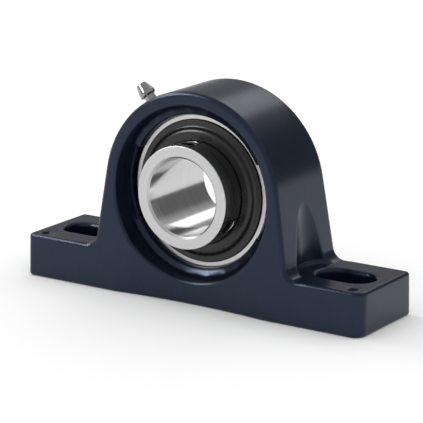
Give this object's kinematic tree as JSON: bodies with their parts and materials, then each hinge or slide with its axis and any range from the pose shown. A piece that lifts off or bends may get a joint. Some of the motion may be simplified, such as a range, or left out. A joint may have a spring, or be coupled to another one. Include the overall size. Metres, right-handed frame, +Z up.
{
  "type": "pillow block bearing",
  "caption": "Cast pillow block with slotted feet holding a sealed, self-aligning ball bearing insert with a grub screw collar and a grease nipple.",
  "frame": {"origin": "middle of the two bolt slots on the mounting plane under the feet, straight below the shaft axis", "axes": "+X along the base, +Y along the shaft axis from the collar to the back, +Z up from the mounting plane"},
  "size_m": [0.152, 0.0412, 0.082],
  "materials": {
    "housing_paint": "glossy dark navy enamel over cast iron",
    "ring_steel": "ground and fine turned bearing steel",
    "ball_steel": "polished bearing steel",
    "cage_steel": "pressed sheet steel",
    "seal_rubber": "moulded nitrile rubber",
    "seal_plate": "dark phosphated sheet",
    "flinger_black": "black coated pressed sheet",
    "screw_black": "black oxide",
    "nipple_zinc": "bright zinc plate",
    "spring_steel": "drawn wire"
  },
  "bodies": {
    "housing": {"housing": "housing_paint", "nipple_body": "nipple_zinc", "nipple_spring": "spring_steel"},
    "insert": {"outer_ring": "ring_steel", "front_seal_lip": "seal_rubber", "rear_seal_lip": "seal_rubber", "front_seal_plate": "seal_plate", "rear_seal_plate": "seal_plate"},
    "shaft_ring": {"inner_ring": "ring_steel", "front_flinger": "flinger_black", "rear_flinger": "flinger_black"},
    "cage": {"cage_front_half": "cage_steel", "cage_rear_half": "cage_steel", "cage_rivets": "cage_steel"},
    "ball_1": {"ball_1": "ball_steel"},
    "ball_2": {"ball_2": "ball_steel"},
    "ball_3": {"ball_3": "ball_steel"},
    "ball_4": {"ball_4": "ball_steel"},
    "ball_5": {"ball_5": "ball_steel"},
    "ball_6": {"ball_6": "ball_steel"},
    "ball_7": {"ball_7": "ball_steel"},
    "ball_8": {"ball_8": "ball_steel"},
    "ball_9": {"ball_9": "ball_steel"},
    "grub_screw_1": {"grub_screw_1": "screw_black"},
    "grub_screw_2": {"grub_screw_2": "screw_black"},
    "check_ball": {"nipple_check_ball": "ball_steel"}
  },
  "joints": [
    {"name": "insert_tilt", "type": "hinge", "parent": "housing", "child": "insert", "pos_m": [0, 0, 0.0429], "axis": [1, 0, 0], "range_deg": [-5, 5]},
    {"name": "inner_ring_spin", "type": "hinge", "parent": "insert", "child": "shaft_ring", "pos_m": [0, 0, 0.0429], "axis": [0, 1, 0], "continuous": true},
    {"name": "cage_spin", "type": "hinge", "parent": "insert", "child": "cage", "pos_m": [0, 0, 0.0429], "axis": [0, 1, 0], "continuous": true},
    {"name": "ball_1_spin", "type": "hinge", "parent": "cage", "child": "ball_1", "pos_m": [0, 0, 0.0659], "axis": [0, 1, 0], "continuous": true},
    {"name": "ball_2_spin", "type": "hinge", "parent": "cage", "child": "ball_2", "pos_m": [0.01478, 0, 0.06052], "axis": [0, 1, 0], "continuous": true},
    {"name": "ball_3_spin", "type": "hinge", "parent": "cage", "child": "ball_3", "pos_m": [0.02265, 0, 0.04689], "axis": [0, 1, 0], "continuous": true},
    {"name": "ball_4_spin", "type": "hinge", "parent": "cage", "child": "ball_4", "pos_m": [0.01992, 0, 0.0314], "axis": [0, 1, 0], "continuous": true},
    {"name": "ball_5_spin", "type": "hinge", "parent": "cage", "child": "ball_5", "pos_m": [0.00787, 0, 0.02129], "axis": [0, 1, 0], "continuous": true},
    {"name": "ball_6_spin", "type": "hinge", "parent": "cage", "child": "ball_6", "pos_m": [-0.00787, 0, 0.02129], "axis": [0, 1, 0], "continuous": true},
    {"name": "ball_7_spin", "type": "hinge", "parent": "cage", "child": "ball_7", "pos_m": [-0.01992, 0, 0.0314], "axis": [0, 1, 0], "continuous": true},
    {"name": "ball_8_spin", "type": "hinge", "parent": "cage", "child": "ball_8", "pos_m": [-0.02265, 0, 0.04689], "axis": [0, 1, 0], "continuous": true},
    {"name": "ball_9_spin", "type": "hinge", "parent": "cage", "child": "ball_9", "pos_m": [-0.01478, 0, 0.06052], "axis": [0, 1, 0], "continuous": true},
    {"name": "grub_screw_1_slide", "type": "slide", "parent": "shaft_ring", "child": "grub_screw_1", "axis": [0, 0, 1], "range_m": [-0.00015, 0.003]},
    {"name": "grub_screw_2_slide", "type": "slide", "parent": "shaft_ring", "child": "grub_screw_2", "axis": [0.866, 0, -0.5], "range_m": [-0.00015, 0.003]},
    {"name": "check_ball_slide", "type": "slide", "parent": "housing", "child": "check_ball", "axis": [0.6884, 0, -0.7254], "range_m": [0, 0.001], "stiffness_N_per_m": 60, "springref_m": -0.002, "deforming": ["nipple_spring"]}
  ],
  "couplings": [
    {"joint": "cage_spin", "follows": "inner_ring_spin", "ratio": 0.39647},
    {"joint": "ball_1_spin", "follows": "inner_ring_spin", "ratio": -2.3112},
    {"joint": "ball_2_spin", "follows": "inner_ring_spin", "ratio": -2.3112},
    {"joint": "ball_3_spin", "follows": "inner_ring_spin", "ratio": -2.3112},
    {"joint": "ball_4_spin", "follows": "inner_ring_spin", "ratio": -2.3112},
    {"joint": "ball_5_spin", "follows": "inner_ring_spin", "ratio": -2.3112},
    {"joint": "ball_6_spin", "follows": "inner_ring_spin", "ratio": -2.3112},
    {"joint": "ball_7_spin", "follows": "inner_ring_spin", "ratio": -2.3112},
    {"joint": "ball_8_spin", "follows": "inner_ring_spin", "ratio": -2.3112},
    {"joint": "ball_9_spin", "follows": "inner_ring_spin", "ratio": -2.3112}
  ]
}
